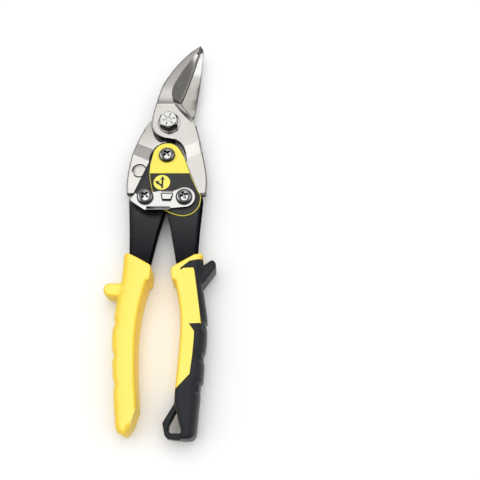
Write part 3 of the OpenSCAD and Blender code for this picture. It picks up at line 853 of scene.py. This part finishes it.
def pivot_bolt():
    low, high = heights("pivot_bolt")
    washer_top = heights("pivot_washer")[1]
    marks = [turned_by(MARK, (0, 0), 60 * k + 12) for k in range(6)]

    def top(xy, d):
        r = np.hypot(xy[:, 0], xy[:, 1])
        face = high - MARK_HEIGHT - FACE_SLOPE * np.clip(r - FACE_R, 0, None) - rounding(d, 0.12)
        raised = np.any([inside(xy, m) & (distance(xy, m, True) > MARK_WALL) for m in marks], axis=0)
        return face + MARK_HEIGHT * raised - DIMPLE_DEPTH * (r < DIMPLE_R)

    lines = [ring((0, 0), r) for r in (FACE_R, DIMPLE_R, DIMPLE_R + 0.1)]
    for m in marks:
        small = [tuple(np.array(p) * 0.92 + np.mean(m, axis=0) * 0.08) for p in m]
        lines += [m + m[:1], small + small[:1]]
    hexagon = arc((0, 0), BOLT_ACROSS / math.sqrt(3), 30, 390, 6)[:-1]
    head = solid("pivot_bolt_head", hexagon, (top, lambda xy, d: washer_top + rounding(d, 0.15)), (),
                 lines, [0.04, 0.12], step=0.4, spacing=0.5, sharp=26)
    shank = plate("pivot_bolt_shank", circle((0, 0), BOLT_R), low, washer_top, 0.4)
    for part in (head, shank):
        finish_piece(part, "upper_blade_body", PLATING, "bright_plating", "pivot_bolt")
    flat_part("pivot_washer_disc", "pivot_washer", circle((0, 0), 6.9), 0.2, "upper_blade_body",
              STEEL_UPPER, "bright_plating", [circle((0, 0), BOLT_R)])


# ---------------- cover, label and latch

COVER_OUTLINE = (arc(HINGE, 8.5, 165, 28, 18)
                 + curve([(10.3, -25.4), (14.2, -36.3), (18.7, -46.9), (20.6, -50.4), (21, -53.4),
                          (19.9, -58.6), (16.2, -62.8), (10.6, -64.4), (4.5, -62.9), (-0.4, -60.4)])
                 + curve([(-5.8, -52.8), (-8, -47.6), (-9.9, -38), (-9.8, -30)]))
LABEL_LINE_Y = -36.5
LABEL_RIM = 0.35
DIRECTION_CENTRE = (-2.3, -42.7)
DIRECTION_R = 4.9


def label_outline():
    """The part of the cover below a straight line, just inside the cover's edge."""
    rim = inset(COVER_OUTLINE, LABEL_RIM)
    first = max(range(len(rim)), key=lambda i: rim[i][1])
    rim = rim[first:] + rim[:first]
    low = [p for p in rim if p[1] < LABEL_LINE_Y - 0.1]
    return [(low[0][0], LABEL_LINE_Y)] + low + [(low[-1][0], LABEL_LINE_Y)]


def cover():
    flat_part("cover_plate_sheet", "cover_plate", COVER_OUTLINE, 0.3, "right_handle", YELLOW_PAINT,
              "yellow_paint", [circle(HINGE, HINGE_R), circle(RIGHT_TANG, TANG_R)])
    flat_part("cover_label_film", "cover_label", label_outline(), 0.06, "right_handle", LABEL_DARK,
              "dark_label", [circle(RIGHT_TANG, TANG_R)])
    flat_part("direction_spot", "direction_disc", circle(DIRECTION_CENTRE, DIRECTION_R), 0.05,
              "right_handle", LABEL_YELLOW, "yellow_label")
    arrows(heights("direction_disc")[1])


def arrows(z):
    """A straight arrow and a short bent one beside it, in dark print."""
    shapes = {"arrow_stem": [(-2.5, -46.7), (-1.4, -46.7), (-1.4, -40.8), (-2.5, -40.8)],
              "arrow_tip": [(-3.35, -40.9), (-0.55, -40.9), (-1.95, -38.5)],
              "arrow_bend": [(-2.5, -45.5), (-2.5, -44.0), (-4.1, -42.7), (-4.8, -43.6)],
              "arrow_bend_tip": [(-3.8, -41.7), (-4.7, -44.3), (-6.6, -41.9)]}
    for name, outline in shapes.items():
        piece = plate(name, outline, z - 0.02, z + 0.05, 0.02, step=0.4, spacing=1.0)
        finish_piece(piece, "right_handle", LABEL_DARK, "dark_label")


LATCH_LOBE = 6.5
LATCH_T = 1.5
LIP_Y = -61.6
SLOT_WALL = 0.12
SLOT_EXIT = (-14.4, -45.5)
SLOT_R = 2.7
LATCH_EDGE_R = 0.35
LATCH_TOP_LEFT = [(-20.9, -54.8), (-18.2, -51)]
LATCH_TOP_RIGHT = [(-9.4, -48.6), (-6.9, -49.6), (-3.6, -49), (4.4, -49)]


def latch_outline():
    """The latch with its open slot cut through the top edge."""
    a, b = np.array(LEFT_TANG), np.array(SLOT_EXIT)
    angle = math.degrees(math.atan2(b[1] - a[1], b[0] - a[0]))
    slot = [(-17.05, -50.1)] + arc(LEFT_TANG, SLOT_R, angle - 270, angle - 90, 16) + [(-11.1, -48.75)]
    return (LATCH_TOP_LEFT + slot + LATCH_TOP_RIGHT + arc(RIGHT_TANG, LATCH_LOBE, 122, -75, 24)
            + [(4, -60.3), (3.2, LIP_Y), (-10.4, LIP_Y), (-12.1, -61.1), (-16, -58.5)])


def latch():
    low, high = heights("latch")
    z1 = low + LATCH_T
    lip_start, lip_x = -59.1, (-10.5, 3.7)
    bridge_h, bridge_y, bridge_ramp, drop_y = 0.7, -50.7, 0.6, -54.6
    slot_y, slot_depth, groove_depth = drop_y - 0.05, 1.1, 0.15
    bridge = [(-2.7, bridge_y), (5.1, bridge_y), (4.2, drop_y), (-1.7, drop_y)]
    slot = [(-1.7, slot_y), (4.2, slot_y), (3.9, drop_y - 1.4), (-1.3, drop_y - 1.4)]
    groove = [(-2.9, -50.0), (5.0, -50.0), (5.0, -49.65), (-2.9, -49.65)]

    def fold(xy):
        """Rise of the thumb lip along the lower edge."""
        t = np.clip((lip_start - xy[:, 1]) / (lip_start - LIP_Y), 0, 1)
        on_lip = (xy[:, 0] > lip_x[0]) & (xy[:, 0] < lip_x[1])
        return np.where(on_lip, (high - z1) * t ** 1.3, 0)

    def pressed(xy):
        """A louvre that rises to a sharp drop, and a fine groove."""
        side = np.minimum(distance(xy, [bridge[0], bridge[3]]), distance(xy, [bridge[1], bridge[2]]))
        rise = bridge_h * np.clip(np.minimum(side, bridge_y - xy[:, 1]) / bridge_ramp, 0, 1)
        on_bridge = inside(xy, bridge[:2] + [(x, y - 0.02) for x, y in bridge[2:]])
        sunk = np.clip(distance(xy, slot, True) / SLOT_WALL, 0, 1) * inside(xy, slot)
        return rise * on_bridge - slot_depth * sunk - groove_depth * inside(xy, groove)

    inwards = [(1, -1), (-1, -1), (-1, 1), (1, 1)]
    floor = [(x + SLOT_WALL * i, y + SLOT_WALL * j) for (x, y), (i, j) in zip(slot, inwards)]
    lines = [p + p[:1] for p in (bridge, slot, floor, groove)]
    lines += [[(x, lip_start - k) for x in lip_x] for k in (0, 0.6, 1.2, 1.8)]
    lines += [[(-1.9, -51.5), (4.2, -51.5)]]  # end of the louvre's rise
    faces = ((lambda xy, d: z1 - rounding(d, LATCH_EDGE_R) + fold(xy) + pressed(xy)),
             (lambda xy, d: low + rounding(d, 0.2) + fold(xy) * 0.9))
    piece = solid("latch_plate", latch_outline(), faces, [circle(RIGHT_TANG, 3.05)], lines,
                  round_insets(LATCH_EDGE_R, 3), step=0.6, spacing=0.9, sharp=24)
    finish_piece(piece, "latch_body", PLATING, "bright_plating", "latch")


# ---------------- grips

GRIP_INSETS = [0.12, 0.4, 0.85, 1.45, 2.2, 3.1, 4.2, 5.2]
# Rounding of the grips' edges on the side between the handles and at the rim, and their least half depth
GRIP_INNER_R = 1.9
GRIP_RIM_R = 0.9
LEAST_HALF = 0.4
# Fall of a grip's top past its crease: by distance, and by distance squared
FALL_SLOPE, FALL_BEND = 0.06, 0.022


def edge_drop(xy, lines):
    """How far a grip's face has dropped near its edges, from pairs of a line and a rounding radius."""
    return np.sqrt(sum(rounding(distance(xy, line), r) ** 2 for line, r in lines))


def scoop(xy, line, depth, width):
    """A shallow finger scoop along a line."""
    return depth * np.clip(1 - (distance(xy, line) / width) ** 2, 0, 1)


LEFT_RIM = [(-6.4, -103.6), (-5.9, -100), (-5.8, -96.8), (-6.4, -95), (-12.9, -91.2), (-19, -87.8),
            (-21.4, -87.5), (-22.4, -88.4)]
KNOB = [(-22.8, -104.8), (-30.6, -105.1), (-32, -106.6), (-32.4, -108.9), (-31.6, -111), (-29.8, -112.3),
        (-24.4, -113)]
LEFT_OUTER_TOP = [(-22.4, -88.4), (-22.5, -98), (-22.8, -104.8)]
LEFT_OUTER = [(-24.4, -113), (-24.9, -119.4), (-25.3, -125.4), (-24.4, -127.2), (-24.7, -128.8),
              (-25.8, -131.6), (-25.5, -138), (-25, -142.6), (-23.9, -145.2), (-24, -146.6),
              (-24.5, -149.2), (-23.9, -155), (-23.3, -158.6), (-22.3, -160.8), (-22.4, -162.4),
              (-22.8, -164.8), (-21.7, -174), (-20.4, -183.3), (-18.9, -185.8), (-16.6, -186.9),
              (-15.6, -187.4), (-14.4, -186.8), (-12.6, -183.6)]
LEFT_INNER = curve([(-9.7, -173.4), (-10, -169), (-11.2, -159), (-12.2, -142), (-12.1, -129.8),
                    (-10.6, -117), (-8, -104.2)], 3)
LEFT_GRIP_OUTLINE = LEFT_OUTER_TOP[1:] + KNOB[1:] + LEFT_OUTER[1:] + LEFT_INNER + LEFT_RIM
LEFT_BODY = LEFT_OUTER_TOP[1:] + LEFT_OUTER + LEFT_INNER + LEFT_RIM
# Where the flat top of a grip ends and its outer side starts to fall away
LEFT_CREASE = [(-13.1, -88), (-13.1, -100.7), (-15.2, -113), (-16.8, -123.5), (-17.4, -140), (-16.8, -160),
               (-14.5, -178), (-14, -190)]
KNOB_HALF = 6.0
# The knob lies past an x and within a reach of a y. So does the guard
KNOB_X, KNOB_Y, KNOB_REACH = -20, -109, 4.4
MARK_LINE = curve([(-16.3, -100.2), (-13.1, -100.9), (-9.6, -100.1)], 4)


def fall_away(xy, crease, side):
    """Slow fall of the top face on the outer side of a crease."""
    out = np.clip(side * (xy[:, 0] - line_x(xy, crease)), 0, None)
    return FALL_SLOPE * out + FALL_BEND * out ** 2


def grip_half(node):
    low, high = heights(node)
    return (high - low) / 2


def left_grip():
    half = grip_half("left_grip")
    edges = [(LEFT_OUTER_TOP + LEFT_OUTER, 3.6), (LEFT_INNER, GRIP_INNER_R), (LEFT_RIM, GRIP_RIM_R)]

    def reach(xy):
        body = half - edge_drop(xy, edges) - fall_away(xy, LEFT_CREASE, -1) - scoop(xy, MARK_LINE, 0.3, 0.6)
        body = np.where(within(xy, LEFT_BODY), body, 0)
        on_knob = (xy[:, 0] < KNOB_X) & (np.abs(xy[:, 1] - KNOB_Y) < KNOB_REACH)
        knob = np.where(on_knob, KNOB_HALF - edge_drop(xy, [(KNOB, 1.6)]), 0)
        return np.maximum(np.maximum(body, knob), LEAST_HALF)

    piece = solid("left_grip_moulding", LEFT_GRIP_OUTLINE, both_ways(reach), (),
                  [LEFT_CREASE[1:-1], [KNOB[0], KNOB[-1]], MARK_LINE], GRIP_INSETS,
                  step=0.8, spacing=1.2, sharp=40)
    finish_piece(piece, "left_handle", YELLOW_GRIP, "yellow_plastic", "left_grip")


RIGHT_RIM = [(7.8, -104.2), (6, -103.3), (5.2, -99.5), (5.4, -96.3), (11, -92.9), (18, -88.8), (21.9, -88),
             (23.1, -89.4)]
GUARD = [(23.2, -94.6), (27.8, -91.3), (29.3, -91.6), (30.4, -93.2), (30.4, -95.8), (23.1, -106)]
RIGHT_OUTER = [(23.1, -106), (24.3, -113.5), (25.7, -121.9), (26, -126.6), (24.9, -128.2), (25, -129.4),
               (25.9, -131.2), (25.8, -138.1), (25.1, -143.2), (24.1, -145.2), (24.1, -147.8), (24.8, -150),
               (24.3, -159.2), (23, -161), (22.7, -164.8), (23, -167), (22.4, -173), (21.7, -183),
               (21.5, -185.4)]
RIGHT_END = [(21.5, -185.4), (20.8, -187.4), (19.2, -188.8), (17.2, -189.2), (13.9, -189.2)]
RIGHT_INNER = [(13.9, -185)] + curve([(9.8, -171), (10.1, -162.5), (10.6, -155), (11.6, -136),
                                      (11.5, -125), (10.2, -115.3), (7.8, -104.2)], 3)
SEAM_TOP = (23.13, -91.2)
SEAM_LOW = (10.06, -163.5)
SEAM = [SEAM_TOP, (15.6, -92.8), (10.5, -97.2), (11, -98.4), (12.2, -97.1), (17.9, -96.8), (18.4, -98),
        (20.1, -109), (22.9, -128.6), (16.3, -128.9), (19.3, -133.2), (19.2, -138), (18.6, -146.5),
        (17.5, -156.1), (10.7, -163.5), SEAM_LOW]
LOOP_SIDE = [(13.9, -189.2), (11.5, -189.2), (6.6, -188.6), (5, -186.8), (3.6, -180.6), (9.4, -170.6)]
LOOP_HALF = 3.8
RIGHT_BODY = (RIGHT_RIM + [SEAM_TOP, GUARD[0]] + RIGHT_OUTER + RIGHT_END[1:] + RIGHT_INNER)
CORE_OUTLINE = SEAM + [p for p in RIGHT_INNER if p[1] > SEAM_LOW[1] + 0.2] + RIGHT_RIM[1:]
OVERMOULD_OUTLINE = (SEAM[::-1] + GUARD + RIGHT_OUTER[1:] + RIGHT_END[1:] + LOOP_SIDE[1:]
                     + [p for p in RIGHT_INNER if -170.5 < p[1] < SEAM_LOW[1] - 0.2])
HANG_HOLE = [(10.4, -175), (6.9, -182), (6.9, -184.8), (8.2, -185.8), (13.9, -185.8), (13.9, -185),
             (11.1, -175.5)]
RIGHT_CREASE = [(23, -88), (22.5, -100), (21.5, -113), (21.5, -135), (20.5, -150), (18.5, -170),
                (17.5, -190)]
GUARD_HALF = 6.5
GUARD_X, GUARD_Y, GUARD_REACH = 22, -98.5, 7.6
LOOP_Y = -170
SCOOPS = [curve([(24.6, -127.4), (23.7, -128.7), (23.9, -130.5), (25.3, -131.9)], 3),
          curve([(23.5, -144.0), (21.9, -145.3), (22.0, -147.6), (24.1, -149.2)], 3),
          curve([(22.3, -160.6), (20.4, -162.2), (20.6, -164.4), (22.6, -165.6)], 3)]


def right_grip():
    half = grip_half("right_grip_core")
    edges = [([SEAM_TOP, GUARD[0]] + RIGHT_OUTER, 4.2), (RIGHT_END, 2.0), (RIGHT_INNER, GRIP_INNER_R),
             (RIGHT_RIM, GRIP_RIM_R)]
    loop_edges = [(LOOP_SIDE, 0.9), (HANG_HOLE + HANG_HOLE[:1], 0.7)]

    def shape(xy):
        body = half - edge_drop(xy, edges) - fall_away(xy, RIGHT_CREASE, 1)
        return np.where(within(xy, RIGHT_BODY), body, 0)

    def core(xy):
        return np.maximum(shape(xy) - 0.3, LEAST_HALF)

    def over(xy):
        body = shape(xy) - rounding(distance(xy, SEAM), 0.4)
        for line in SCOOPS:
            body = body - scoop(xy, line, 1.1, 1.3)
        on_guard = (xy[:, 0] > GUARD_X) & (np.abs(xy[:, 1] - GUARD_Y) < GUARD_REACH)
        guard = np.where(on_guard, GUARD_HALF - edge_drop(xy, [(GUARD, 1.3)]), 0)
        loop = np.where(xy[:, 1] < LOOP_Y, LOOP_HALF - edge_drop(xy, loop_edges), 0)
        return np.maximum(np.maximum(body, np.maximum(guard, loop)), LEAST_HALF)

    piece = solid("right_grip_core_moulding", CORE_OUTLINE, both_ways(core), (), (), GRIP_INSETS[:-1],
                  step=0.8, spacing=1.2, sharp=40)
    finish_piece(piece, "right_handle", YELLOW_GRIP, "yellow_plastic", "right_grip_core")
    lines = [[GUARD[0], GUARD[-1]], RIGHT_INNER[:2], *SCOOPS]
    piece = solid("right_grip_overmould_moulding", OVERMOULD_OUTLINE, both_ways(over), [HANG_HOLE], lines,
                  GRIP_INSETS[:-1], step=0.7, spacing=0.9, sharp=40)
    finish_piece(piece, "right_handle", BLACK_GRIP, "black_rubber", "right_grip_overmould")


# ---------------- CAD nodes that stay

TURNED_PARTS = ("pivot_nut", "hinge_nut", "right_tang_nut", "left_tang_nut", "spring_sleeve",
                "right_tang_spacers", "left_tang_sleeve", "latch_washer")


def dress(node, material):
    piece = frame["nodes"][node]
    piece.data.materials.clear()
    piece.data.materials.append(material)
    return piece


def dress_cad_nodes():
    """Small turned parts keep their CAD shape, with softened edges and a real finish."""
    dress("opening_spring", SPRING_STEEL)
    for node in TURNED_PARTS:
        edges = dress(node, PLATING).modifiers.new("soft_edges", "BEVEL")
        edges.width = 0.12 * MM
        edges.segments = 2
        edges.limit_method = "ANGLE"
        edges.angle_limit = math.radians(50)


# ---------------- stage

FLOOR_HALF = 4.0


def make_stage():
    corners = [(x * FLOOR_HALF, y * FLOOR_HALF, 0) for x, y in ((-1, -1), (1, -1), (1, 1), (-1, 1))]
    mesh = bpy.data.meshes.new("floor")
    mesh.from_pydata(corners, [], [(0, 1, 2, 3)])
    mesh.materials.append(node_material("floor", (0.93, 0.93, 0.93), 0.0, 0.7))
    floor = add_object("floor", mesh)


# Brightness of the studio by direction: walls that brighten towards +Y and fade to both sides and to
# the floor, a bright strip at each side, a ceiling that leans towards +Y, and a pale horizon
WALL_LEVEL = 0.22
WALL_Y = 0.36
WALL_X = -0.75
WALL_RANGE = (0.19, 0.6)
STRIP_EDGE = (0.69, 0.77)
STRIP_LEVEL = 1.0
WALL_FOOT = (0.2, 0.45)
WALL_FOOT_LEVEL = 0.12
CEILING_LEAN = 0.25
CEILING_EDGE = (0.87, 0.955)
CEILING_SIDE = (0.27, -0.9)
CEILING_LEVEL = 1.25
CEILING_Y = -0.5
HORIZON_EDGE = (0.04, 0.14)
HORIZON_LEVEL = 0.4
TENT_PLACE = (0.1, 0.1, 1.3)
TENT_SIZE = (2.8, 2.6)
TENT_POWER = 27.0


def make_world():
    """A pale studio that is brightest overhead."""
    world = bpy.data.worlds.new("studio")
    bpy.context.scene.world = world
    world.use_nodes = True
    nodes, links = world.node_tree.nodes, world.node_tree.links
    axes = nodes.new("ShaderNodeSeparateXYZ")
    links.new(nodes.new("ShaderNodeTexCoord").outputs["Generated"], axes.inputs[0])
    x, y, z = axes.outputs

    def calc(operation, *values):
        node = nodes.new("ShaderNodeMath")
        node.operation = operation
        for socket, value in zip(node.inputs, values):
            if isinstance(value, float):
                socket.default_value = value
            else:
                links.new(value, socket)
        return node.outputs[0]

    def smooth(value, edge, low, high):
        node = nodes.new("ShaderNodeMapRange")
        node.interpolation_type = "SMOOTHSTEP"
        fill(node, From_Min=edge[0], From_Max=edge[1], To_Min=low, To_Max=high)
        links.new(value, node.inputs["Value"])
        return node.outputs["Result"]

    wall = calc("MULTIPLY_ADD", y, WALL_Y, WALL_LEVEL)
    side = calc("ABSOLUTE", x)
    wall = calc("MULTIPLY_ADD", side, WALL_X, wall)
    wall = calc("MINIMUM", calc("MAXIMUM", wall, WALL_RANGE[0]), WALL_RANGE[1])
    wall = calc("ADD", wall, smooth(side, STRIP_EDGE, 0.0, STRIP_LEVEL))
    wall = calc("MULTIPLY", wall, smooth(z, WALL_FOOT, WALL_FOOT_LEVEL, 1.0))
    ceiling = calc("MULTIPLY_ADD", y, CEILING_Y, CEILING_LEVEL)
    past = calc("MAXIMUM", calc("SUBTRACT", side, CEILING_SIDE[0]), 0.0)
    height = calc("MULTIPLY_ADD", past, CEILING_SIDE[1], z)
    share = smooth(calc("MULTIPLY_ADD", y, CEILING_LEAN, height), CEILING_EDGE, 0.0, 1.0)
    value = calc("MULTIPLY_ADD", share, calc("SUBTRACT", ceiling, wall), wall)
    value = calc("ADD", value, smooth(z, HORIZON_EDGE, HORIZON_LEVEL, 0.0))
    fill(nodes["Background"], Color=(1, 1, 1, 1))
    links.new(value, nodes["Background"].inputs["Strength"])


def make_lights():
    make_world()
    data = bpy.data.lights.new("tent", "AREA")
    data.shape = "RECTANGLE"
    data.size, data.size_y = TENT_SIZE
    data.energy = TENT_POWER
    tent = add_object("tent", data)
    tent.location = TENT_PLACE
    tent.visible_glossy = False
    bpy.context.scene.view_settings.view_transform = "Standard"


make_camera()
make_stage()
make_lights()
upper_blade()
lower_blade()
stamped_disc()
handle_frames()
screws()
pivot_bolt()
cover()
latch()
left_grip()
right_grip()
dress_cad_nodes()
